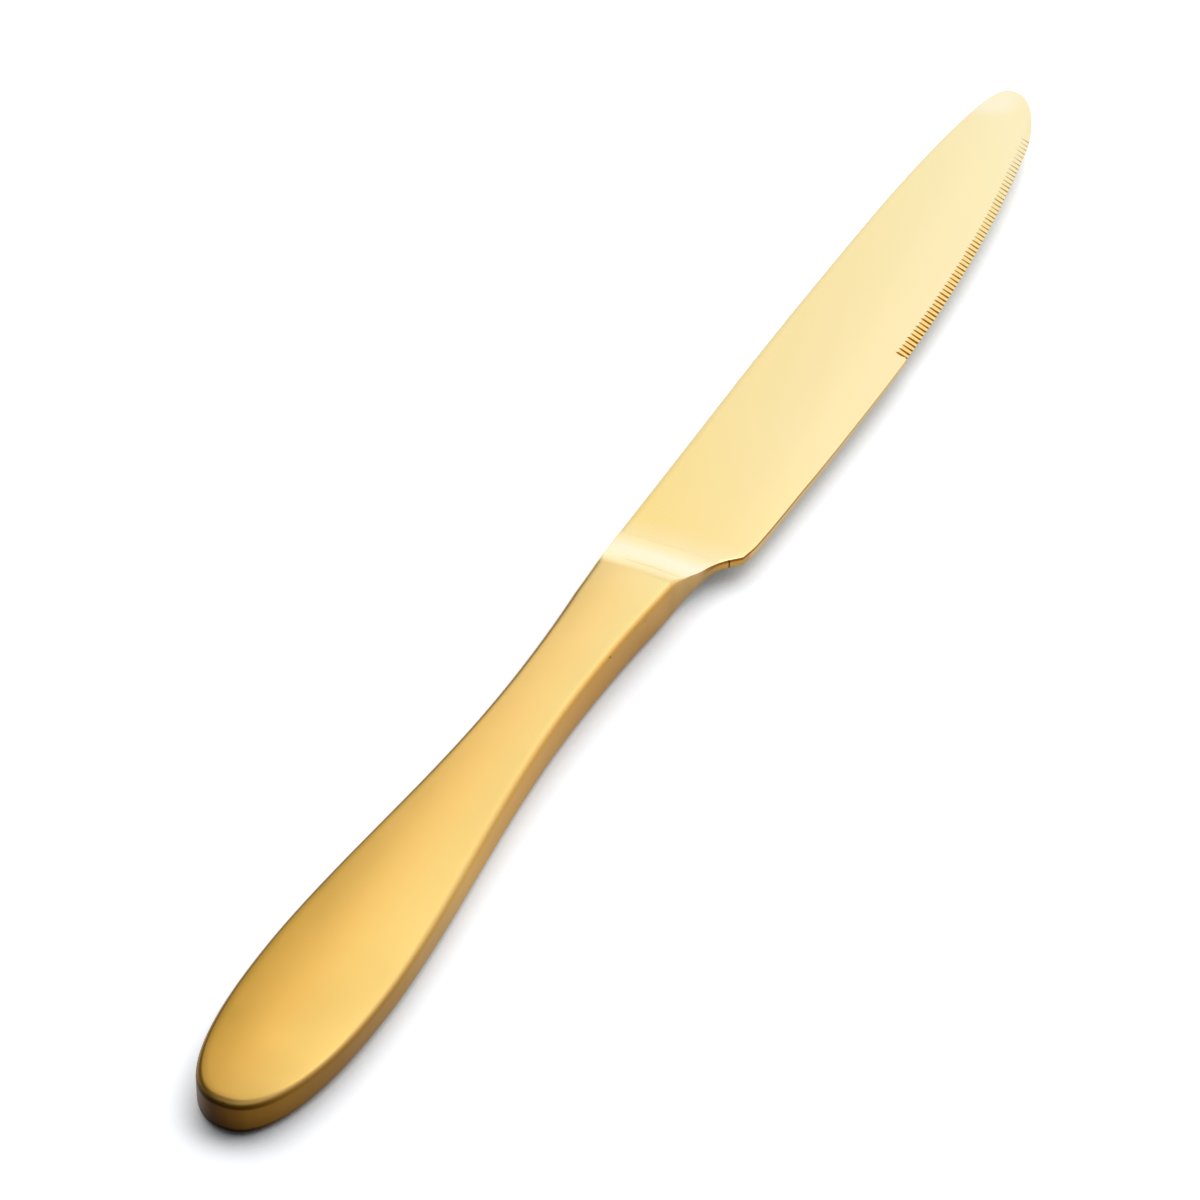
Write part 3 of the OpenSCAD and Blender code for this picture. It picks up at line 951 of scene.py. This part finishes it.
@dataclass
class Handle:
    """Hollow handle: two stamped half shells, the solder in their seam and the ring at the mouth."""

    profile: Profile
    maker: MeshMaker
    coat: bpy.types.Material
    butt_steps: int = 48
    side_step: float = 1.0
    shoulder_steps: int = 8
    crown_steps: int = 10

    def outline(self) -> list[tuple[Pair, Pair]]:
        """Points of the handle's outline, with the direction inwards at each.

        Returns:
            Places and directions, from the mouth on the spine's side round the butt to the mouth again.
        """
        p = self.profile
        power = 2 / p.butt_power
        turns = [math.pi / 2 * i / self.butt_steps for i in range(self.butt_steps)]
        side = [
            (p.bulb_at * (1 - math.cos(a) ** power), p.bulb_w / 2 * math.sin(a) ** power) for a in turns
        ]
        side += [(x, p.side_y(x)) for x in steps(p.bulb_at, p.handle_l, self.side_step)]
        side.append((p.handle_l, p.side_y(p.handle_l)))
        points = side[::-1] + [(x, -y) for x, y in side[1:]]
        inward = [(0.0, -1.0)]
        for before, after in zip(points, points[2:]):
            dx, dy = after[0] - before[0], after[1] - before[1]
            length = math.hypot(dx, dy)
            inward.append((-dy / length, dx / length))
        inward.append((0.0, 1.0))
        return list(zip(points, inward))

    def line(self, point: Pair, inward: Pair, inset: float, radius: float) -> Loop:
        """Points from the seam up a side, over the shoulder and across the crown to the centre line.

        Args:
            point: Place on the handle's outline.
            inward: Direction inwards there.
            inset: Depth below the handle's outer skin.
            radius: Radius of the shoulder.

        Returns:
            Places across the handle and heights above the middle plane.
        """
        p = self.profile
        side = (point[0] + inward[0] * inset, point[1] + inward[1] * inset)

        def place(s: float) -> Pair:
            """Place at a distance inwards from the side."""
            return side[0] + inward[0] * s, side[1] + inward[1] * s

        shoulder = round_corner(
            lambda s: p.crown(*place(s)) - inset, radius, self.shoulder_steps, p.shoulder_drop
        )
        points = [(*side, p.film_t / 2)] + [(*place(s), z) for s, z in shoulder]
        foot = points[-1]
        centre_x = blend(p.bulb_w / 2, p.bulb_at, point[0] / p.bulb_at) if point[0] < p.bulb_at else point[0]
        for i in range(1, self.crown_steps + 1):
            share = i / self.crown_steps
            x, y = blend(foot[0], centre_x, share), blend(foot[1], 0.0, share)
            points.append((x, y, p.crown(x, y) - inset))
        return points

    def placed(self, points: Loop, face: Face) -> Loop:
        """Points of the upper or the lower half, set above the table."""
        return [(x, y, max(0.0, self.profile.mid_z(x) + face.value * z)) for x, y, z in points]

    def half(self, name: str, face: Face) -> Piece:
        """Makes one stamped half shell.

        Args:
            name: Name of the piece.
            face: Which half it is.

        Returns:
            The half shell, with its wall.
        """
        p = self.profile
        outline = self.outline()
        lines = [
            self.placed(self.line(point, inward, inset, radius), face)
            for inset, radius in ((0.0, p.shoulder_r), (p.shell_wall, p.inner_r))
            for point, inward in outline
        ]
        rows, count = len(lines[0]), len(outline)

        def quad(a: int, b: int, j: int, k: int) -> list[int]:
            """Face between two rows of two lines."""
            return [a * rows + j, b * rows + j, b * rows + k, a * rows + k]

        faces = [
            quad(skin + i, skin + i + 1, k, k + 1)
            for skin in (0, count) for i in range(count - 1) for k in range(rows - 1)
        ]
        faces += [
            [i * rows, (i + 1) * rows, (count + i + 1) * rows, (count + i) * rows] for i in range(count - 1)
        ]
        faces += [quad(i, count + i, k, k + 1) for i in (0, count - 1) for k in range(rows - 1)]
        return self.maker.make(name, [point for line in lines for point in line], faces)

    def seam_film(self) -> Piece:
        """Makes the film of solder between the half shells.

        Returns:
            The film.
        """
        p = self.profile
        loops = []
        for (x, y), (dx, dy) in self.outline():
            inner = (x + dx * p.shell_wall, y + dy * p.shell_wall)
            corners = (((x, y), -1), ((x, y), 1), (inner, 1), (inner, -1))
            loops.append([(*q, p.mid_z(q[0]) + side * p.film_t / 2) for q, side in corners])
        return self.maker.tube("seam_film", loops)

    def neck_film(self, section: Callable[..., Loop]) -> Piece:
        """Makes the ring of solder between the handle's mouth and the bolster.

        Args:
            section: Function that gives the knife's outline across its length.

        Returns:
            The ring.
        """
        p = self.profile
        ring = (
            (p.handle_l, 0.0), (p.bolster_at, 0.0), (p.bolster_at, p.shell_wall), (p.handle_l, p.shell_wall)
        )
        loops = [[(x, y, z) for _, y, z in section(p.handle_l, inset)] for x, inset in ring]
        return self.maker.tube("neck_film", loops, ring=True)

    def build(self, section: Callable[..., Loop]) -> None:
        """Builds and dresses the handle's pieces.

        Args:
            section: Function that gives the knife's outline across its length.
        """
        pieces = (
            (self.half("upper_handle_half", Face.UPPER), Slot.HANDLE, "handle_shell_top"),
            (self.half("lower_handle_half", Face.LOWER), Slot.HANDLE, "handle_shell_bottom"),
            (self.seam_film(), Slot.SOLDER, "seam_solder"),
            (self.neck_film(section), Slot.SOLDER, "neck_solder"),
        )
        for piece, slot, node in pieces:
            finish_mesh(piece)
            dress(piece, self.coat, slot, node)


@dataclass
class Forging:
    """Blade, bolster, spigot and tang, forged in one and ground."""

    profile: Profile
    maker: MeshMaker
    coat: bpy.types.Material
    tooth_count: int = 58
    tooth_d: float = 0.26
    tooth_jitter: float = 0.06
    tooth_fade: float = 0.13
    tooth_taper: float = 0.4
    spigot_l: float = 7.0
    spigot_gap: float = 0.1
    tang_l: float = 62.0
    tang_w: float = 5.0
    tang_t: float = 2.0
    notch_count: int = 3
    notch_w: float = 2.0
    notch_d: float = 0.9
    corner_steps: int = 8
    corner_share: float = 0.25
    wall_share: float = 1 / 3
    crease_halvings: int = 30
    columns: int = 24
    fine_step: float = 0.25
    plain_step: float = 0.9
    nose_steps: int = 28
    step_share: float = 0.1
    overlap: float = 1.0
    seed: int = 7

    @property
    def teeth_end(self) -> float:
        """Distance from the butt to the last groove."""
        return self.profile.teeth_x + (self.tooth_count - 1) * self.profile.tooth_pitch

    def corner_r(self, x: float) -> float:
        """Radius of the corners between the faces and the sides.

        Args:
            x: Distance from the butt.

        Returns:
            The radius, which shrinks where the nose gets narrow.
        """
        p = self.profile
        if x < p.root_at:
            radius = blend(p.shoulder_r, p.root_r, ease((x - p.cove_at) / p.fade_l))
        else:
            radius = blend(p.root_r, p.edge_r, min(1.0, (x - p.root_at) / p.fade_l))
        return min(radius, (p.spine_y(x) - p.edge_y(x)) * self.corner_share)

    def drop(self, x: float) -> float:
        """How far the corners reach down the sides, as a share of how far they reach inwards."""
        p = self.profile
        return blend(p.shoulder_drop, 1.0, ease((x - p.cove_at) / p.fade_l))

    def bevel_z(self, x: float, y: float) -> float:
        """Height of the ground bevel.

        Args:
            x: Distance from the butt.
            y: Place across the blade.

        Returns:
            The height above the table.
        """
        p = self.profile
        inward = p.ground_r - math.hypot(x - p.ground_x, y - p.ground_r + p.ground_d)
        rise = p.bevel_rise(self.teeth_end) * (x - p.teeth_x)
        return p.ground_z(p.teeth_x) + p.bevel_slope * inward + rise

    def crease_y(self, x: float) -> float:
        """Finds where the ground bevel meets the upper face.

        Args:
            x: Distance from the butt.

        Returns:
            The place across the blade.
        """
        p = self.profile
        low = p.edge_y(x)
        high = low + 2 * p.bevel_w
        for _ in range(self.crease_halvings):
            middle = (low + high) / 2
            if self.bevel_z(x, middle) < p.face_z(x, middle, Face.UPPER):
                low = middle
            else:
                high = middle
        return low

    def face_points(self, x: float, face: Face, ground: bool, inset: float) -> list[Pair]:
        """Points across the upper or the lower face, with its rounded corners.

        Args:
            x: Distance from the butt.
            face: Which face it is.
            ground: Whether the edge has its ground bevel there.
            inset: Depth below the outer skin.

        Returns:
            Places across and heights above the table, from the edge's side to the spine's.
        """
        p = self.profile
        mid = p.mid_z(x)
        edge, spine = p.edge_y(x) + inset, p.spine_y(x) - inset
        radius = p.inner_r if inset else self.corner_r(x)

        def height(y: float) -> float:
            """Height of the face from the middle plane outwards."""
            return face.value * (p.face_z(x, y, face) - mid) - inset

        wall = 0.0
        if ground:
            wall = min(2 * height(edge), self.bevel_z(x, edge) - p.face_z(x, edge, Face.LOWER))
        bevelled = ground and wall < 2 * height(edge) - radius
        low_r = min(radius, wall * self.wall_share) if bevelled else radius
        if bevelled and face is Face.UPPER:
            crease = self.crease_y(x)
            near = [blend(edge, crease, i / self.corner_steps) for i in range(self.corner_steps + 1)]
            edge_side = [(y, self.bevel_z(x, y) - mid) for y in near]
        else:
            corner = round_corner(lambda s: height(edge + s), low_r, self.corner_steps, self.drop(x))
            edge_side = [(edge + s, z) for s, z in corner]
        corner = round_corner(lambda s: height(spine - s), radius, self.corner_steps, self.drop(x))
        spine_side = [(spine - s, z) for s, z in reversed(corner)]
        start, stop = edge_side[-1][0], spine_side[0][0]
        middle = [blend(start, stop, i / self.columns) for i in range(1, self.columns)]
        points = edge_side + [(y, height(y)) for y in middle] + spine_side
        return [(y, mid + face.value * z) for y, z in points]

    def section(self, x: float, inset: float = 0.0, ground: bool = False) -> Loop:
        """Closed outline across the bolster or the blade.

        Args:
            x: Distance from the butt.
            inset: Depth below the outer skin.
            ground: Whether the edge has its ground bevel there.

        Returns:
            Points over the upper face and back below the lower one.
        """
        upper = self.face_points(x, Face.UPPER, ground, inset)
        lower = self.face_points(x, Face.LOWER, ground, inset)
        return [(x, y, max(0.0, z)) for y, z in upper + lower[::-1]]

    def stations(self) -> list[tuple[float, bool]]:
        """Chooses the places along the bolster and blade that get an outline.

        Returns:
            Distances from the butt, and whether the edge is ground there.
        """
        p = self.profile
        nick = [p.nick_at + share * p.nick_w for share in (-0.5, -0.25, 0.0, 0.25, 0.5)]
        plain_end = p.ground_from - p.step_l
        soft_end = p.heel_x + p.fade_l
        plain = steps(p.bolster_at, p.root_at, self.fine_step) + nick
        plain += [x for x in steps(p.root_at, p.heel_x, self.fine_step) if not nick[0] < x < nick[-1]]
        plain += steps(p.heel_x, soft_end, self.fine_step)
        plain += steps(soft_end, plain_end, self.plain_step) + [plain_end, p.ground_from]
        ground = [p.ground_from + p.step_l * self.step_share]
        ground += steps(p.teeth_x, p.nose_at, p.tooth_pitch / 2)
        turns = [math.pi / 2 * i / self.nose_steps for i in range(self.nose_steps + 1)]
        ground += [p.nose_at + p.nose_edge_l * math.sin(a) for a in turns]
        return [(x, False) for x in sorted(plain)] + [(x, True) for x in ground]

    def tang(self) -> Piece:
        """Makes the notched tang.

        Returns:
            The tang, which runs on into the spigot.
        """
        p = self.profile
        start, stop = p.handle_l - self.tang_l, p.handle_l
        mid = p.mid_z(p.handle_l)
        pitch = (stop - self.spigot_l - start) / (self.notch_count + 1)
        half_w, half_t = self.tang_w / 2, self.tang_t / 2
        tang = self.maker.box("tang", (start, -half_w, mid - half_t), (stop, half_w, mid + half_t))
        for i in range(self.notch_count):
            for side in (-1, 1):
                place = Vector((start + (i + 1) * pitch, side * half_w, mid))
                reach = Vector((self.notch_w / 2, self.notch_d, self.tang_t))
                notch = self.maker.box("notch", tuple(place - reach), tuple(place + reach))
                self.combine(tang, notch, "DIFFERENCE")
        return tang

    def spigot(self) -> Piece:
        """Makes the spigot, which plugs the handle's mouth.

        Returns:
            The spigot, which runs on into the bolster.
        """
        p = self.profile
        start = p.handle_l - self.spigot_l
        room = p.shell_wall + self.spigot_gap
        half_w = min(p.mouth_w / 2, p.side_y(start)) - room
        half_t = min(p.crown(start, half_w), p.crown(p.handle_l, half_w)) - room
        low = p.mid_z(p.handle_l) - half_t
        high = p.mid_z(start) + half_t
        return self.maker.box("spigot", (start, -half_w, low), (p.bolster_at + self.overlap, half_w, high))

    def combine(self, piece: Piece, other: Piece, operation: str) -> None:
        """Joins another solid to a piece, or cuts it away, and removes it.

        Args:
            piece: The piece.
            other: The other solid.
            operation: UNION or DIFFERENCE.
        """
        modifier = piece.modifiers.new("combine", "BOOLEAN")
        modifier.operation = operation
        modifier.solver = "EXACT"
        modifier.object = other
        settle(piece)
        bpy.data.objects.remove(other)

    def groove_tree(self) -> Tree:
        """Builds the tree that cuts a row of transverse grooves into the ground bevel.

        Returns:
            The tree, with named inputs for the grooves' number, spacing, place and shape.
        """
        tree = bpy.data.node_groups.new("transverse_grooves", "GeometryNodeTree")
        tree.interface.new_socket("Geometry", in_out="OUTPUT", socket_type="NodeSocketGeometry")
        for kind, names in GROOVE_INPUTS.items():
            for name in names:
                tree.interface.new_socket(name, in_out="INPUT", socket_type="NodeSocket" + kind)
        add = partial(add_node, tree)
        given = add("NodeGroupInput").outputs

        line = add(
            "MeshLine", {"Count": given["Count"], "Start Location": given["First"], "Offset": given["Pitch"]}
        )
        x, _, z = add("ShaderNodeSeparateXYZ", (add("InputPosition"),)).outputs
        away = add("ShaderNodeMath", (x, given["Edge Centre X"]), operation="SUBTRACT")
        squares = [
            add("ShaderNodeMath", (side, side), operation="MULTIPLY")
            for side in (given["Edge Radius"], away)
        ]
        rest = add("ShaderNodeMath", squares, operation="SUBTRACT")
        reach = add("ShaderNodeMath", (rest,), operation="SQRT")
        edge = add("ShaderNodeMath", (given["Edge Centre Y"], reach), operation="SUBTRACT")
        chance = add(
            "FunctionNodeRandomValue", {"Max": given["Jitter"], "Seed": given["Seed"]}, data_type="FLOAT"
        )
        depth = add("ShaderNodeMath", (z, chance), operation="SUBTRACT")
        target = add("ShaderNodeCombineXYZ", (x, edge, depth))
        row = add("SetPosition", {"Geometry": line, "Position": target})

        bar = add("MeshCube", {"Size": given["Bar"]})
        shift = add("ShaderNodeCombineXYZ", {"Y": given["Bar Shift"], "Z": given["Bar Lift"]})
        on_edge = (0.0, -math.pi / 4, 0.0)
        laid = add("Transform", {"Geometry": bar, "Translation": shift, "Rotation": on_edge})
        turn = add("ShaderNodeCombineXYZ", {"X": given["Climb"]})
        cutters = add("InstanceOnPoints", {"Points": row, "Instance": laid, "Rotation": turn})
        cut = add(
            "MeshBoolean", {"Mesh 1": given["Geometry"], "Mesh 2": cutters},
            operation="DIFFERENCE", solver="EXACT",
        )
        real = add("RealizeInstances", {"Geometry": cut})
        coated = add("SetMaterial", {"Geometry": real, "Material": given["Coat"]})
        add("NodeGroupOutput", {"Geometry": coated})
        return tree

    def cut_grooves(self, blade: Piece) -> None:
        """Cuts the serration's grooves into the blade.

        Args:
            blade: The blade, which gets the cut mesh.
        """
        p = self.profile
        bar = p.tooth_pitch / 2
        reach = 2 * p.bevel_w + self.overlap
        climb = math.atan(p.bevel_slope + self.tooth_taper * self.tooth_d / p.bevel_w)
        first_z = p.ground_z(p.teeth_x) - self.tooth_d + self.tooth_jitter / 2
        rise = p.bevel_rise(self.teeth_end) * p.tooth_pitch + self.tooth_fade / self.tooth_count
        tree = self.groove_tree()
        values = {
            "Count": self.tooth_count,
            "Seed": self.seed,
            "Coat": self.coat,
            "First": ((p.teeth_x - p.origin_x) * MM, 0.0, first_z * MM),
            "Pitch": (p.tooth_pitch * MM, 0.0, rise * MM),
            "Bar": (bar * MM, reach * MM, bar * MM),
            "Edge Radius": p.ground_r * MM,
            "Edge Centre X": (p.ground_x - p.origin_x) * MM,
            "Edge Centre Y": (p.ground_r - p.ground_d) * MM,
            "Bar Lift": bar / math.sqrt(2) * MM,
            "Bar Shift": (reach / 2 - self.overlap) * MM,
            "Climb": climb,
            "Jitter": self.tooth_jitter * MM,
        }
        modifier = blade.modifiers.new("grooves", "NODES")
        modifier.node_group = tree
        for item in tree.interface.items_tree:
            if item.item_type == "SOCKET" and item.in_out == "INPUT" and item.name in values:
                modifier[item.identifier] = values[item.name]
        settle(blade)

    def build(self) -> None:
        """Builds and dresses the forging."""
        loops = [self.section(x, ground=ground) for x, ground in self.stations()]
        blade = self.maker.tube("forged_blade", loops)
        self.cut_grooves(blade)
        spigot = self.spigot()
        self.combine(spigot, self.tang(), "UNION")
        self.combine(blade, spigot, "UNION")
        finish_mesh(blade)
        dress(blade, self.coat, Slot.BLADE, "blade")


@dataclass(frozen=True)
class Softbox:
    """Lamp that shines on the knife, with its direction in degrees and its lengths in metres."""

    name: str
    turn: float
    height: float
    distance: float
    width: float
    length: float
    level: float


@dataclass(frozen=True)
class Wall:
    """Part of the room that is brighter or darker than the rest, by its direction and its spread."""

    turn: float
    height: float
    inner: float
    outer: float
    level: float


@dataclass
class Studio:
    """White table, soft studio light and the camera, with its lengths in metres."""

    view_turn: float = 63.342
    view_height: float = 39.452
    view_distance: float = 0.85637
    aim: Point = (0.058016, 0.004482, 0.0)
    focal_px: float = 6500.0
    picture_px: float = 1200.0
    sensor: float = 36.0
    floor_size: float = 12.0
    floor_drop: float = 0.00002
    floor_colour: str = "F3F6FB"
    floor_glow: float = 0.55
    # Painted shadow near the knife: an occlusion test, tilted towards the open side, dims the glow and turns
    # the card to the shadow colour.
    contact: float = 0.017
    contact_reach: Pair = (0.36, 0.92)
    contact_ease: float = 1.5
    painted_shadow_colour: str = "363E48"
    open_side: Pair = (-13.0, 20.0)
    room_level: float = 0.44
    room_colour: str = "FFFFFF"
    walls: tuple[Wall, ...] = (
        Wall(-10.1, 10.0, 8.3, 51.7, 1.19),
        Wall(82.5, 11.9, 60.0, 82.4, 0.22),
        Wall(229.9, 56.0, 23.4, 56.6, 0.54),
        Wall(-62.0, 31.0, 20.0, 38.0, 1.0),
    )
    lamps: tuple[Softbox, ...] = (Softbox("key_softbox", -40.0, 66.0, 1.2, 1.48, 0.57, 1.37),)

    def direction(self, turn: float, height: float) -> Vector:
        """Direction away from the knife.

        Args:
            turn: Degrees to the left of the view.
            height: Degrees above the table.

        Returns:
            A vector of length one.
        """
        a = math.radians(90 - self.view_turn + turn)
        e = math.radians(height)
        return Vector((math.cos(a) * math.cos(e), math.sin(a) * math.cos(e), math.sin(e)))

    def camera(self) -> None:
        """Sets up the camera at the photograph's viewing angle."""
        data = bpy.data.cameras.new("camera")
        data.sensor_width = self.sensor
        data.lens = self.focal_px * self.sensor / self.picture_px
        data.clip_end = self.floor_size
        camera = link("camera", data)
        back = self.direction(180.0, self.view_height)
        place = Vector(self.aim) + back * self.view_distance
        right = self.direction(-90.0, 0.0)
        up = back.cross(right)
        turned = Matrix((right, up, back)).transposed().to_4x4()
        camera.matrix_world = Matrix.Translation(place) @ turned
        bpy.context.scene.camera = camera

    def floor(self) -> None:
        """Makes the white table top, which takes the knife's real shadow from the lamps and a painted shadow
        near the knife.
        """
        half = self.floor_size / 2
        mesh = bpy.data.meshes.new("table_top")
        corners = [(x * half, y * half, -self.floor_drop) for x, y in ((-1, -1), (1, -1), (1, 1), (-1, 1))]
        mesh.from_pydata(corners, [], [(0, 1, 2, 3)])
        table = link("table_top", mesh)

        material = bpy.data.materials.new("matte_white_card")
        add = empty_tree(material)
        path = add("LightPath").outputs
        seen = path["Is Camera Ray"]
        for ray in ("Is Glossy Ray", "Is Transmission Ray"):
            seen = add("Math", (seen, path[ray]), operation="MAXIMUM")
        # Painted shadow: the occlusion near the knife dims the glow and mixes the card's colour towards the
        # painted shadow colour.
        way = add("CombineXYZ", tuple(self.direction(*self.open_side)))
        sky = add("AmbientOcclusion", {"Distance": self.contact, "Normal": way}).outputs["AO"]
        near = add("MapRange", (sky, *self.contact_reach, 1.0, 0.0))
        dark = add("Math", (near, self.contact_ease), operation="POWER")
        clear = add("Math", (1.0, dark), operation="SUBTRACT")
        glow = add("Math", (clear, self.floor_glow), operation="MULTIPLY")
        glow = add("Math", (seen, glow), operation="MULTIPLY")
        shaded, lit = linear(self.painted_shadow_colour), linear(self.floor_colour)
        shade = add("Mix", {"Factor": clear, "A": shaded, "B": lit}, data_type="RGBA")
        card = add("BsdfDiffuse", {"Color": shade})
        light = add("Emission", {"Strength": glow})
        both = add("AddShader", (card, light))
        add("OutputMaterial", {"Surface": both})
        mesh.materials.append(material)

    def room(self) -> None:
        """Lights the room evenly, apart from its brighter and darker walls."""
        world = bpy.data.worlds.new("studio_room")
        bpy.context.scene.world = world
        add = empty_tree(world)
        way = add("TexCoord").outputs["Generated"]
        level: float | Node = self.room_level
        for wall in self.walls:
            middle = self.direction(wall.turn, wall.height)
            towards = add("VectorMath", (way, middle), operation="DOT_PRODUCT")
            reach = [math.cos(math.radians(angle)) for angle in (wall.outer, wall.inner)]
            share = add("MapRange", (towards, *reach, 0.0, 1.0), interpolation_type="SMOOTHSTEP")
            level = add("Mix", {"Factor": share, "A": level, "B": wall.level}, data_type="FLOAT")
        sky = add("Background", {"Color": linear(self.room_colour), "Strength": level})
        add("OutputWorld", {"Surface": sky})

    def lamp(self, softbox: Softbox) -> None:
        """Hangs one softbox, whose face shows at its level.

        Args:
            softbox: The softbox.
        """
        data = bpy.data.lights.new(softbox.name, "AREA")
        data.shape = "RECTANGLE"
        data.size, data.size_y = softbox.width, softbox.length
        data.energy = softbox.level * softbox.width * softbox.length * WATTS_PER_LEVEL
        light = link(softbox.name, data)
        way = self.direction(softbox.turn, softbox.height)
        light.location = Vector(self.aim) + way * softbox.distance
        light.rotation_euler = way.to_track_quat("Z", "Y").to_euler()

    def build(self) -> None:
        """Builds the whole studio."""
        bpy.context.scene.view_settings.view_transform = "Standard"
        self.camera()
        self.floor()
        self.room()
        for softbox in self.lamps:
            self.lamp(softbox)


def main() -> None:
    """Builds the knife and its studio in order."""
    logging.basicConfig(level=logging.INFO, format="%(name)s: %(message)s")
    profile = Profile.from_frame()
    maker = MeshMaker(profile)
    Studio().build()
    coat = GoldCoat().material(profile)
    forging = Forging(profile, maker, coat)
    forging.build()
    Handle(profile, maker, coat).build(forging.section)

    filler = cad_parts["handle_filler"]
    filler.data.materials.clear()
    filler.data.materials.append(SetCement().material())
    LOG.info("handle_filler: kept as packed")

    bpy.context.view_layer.update()


if __name__ == "__main__":
    main()
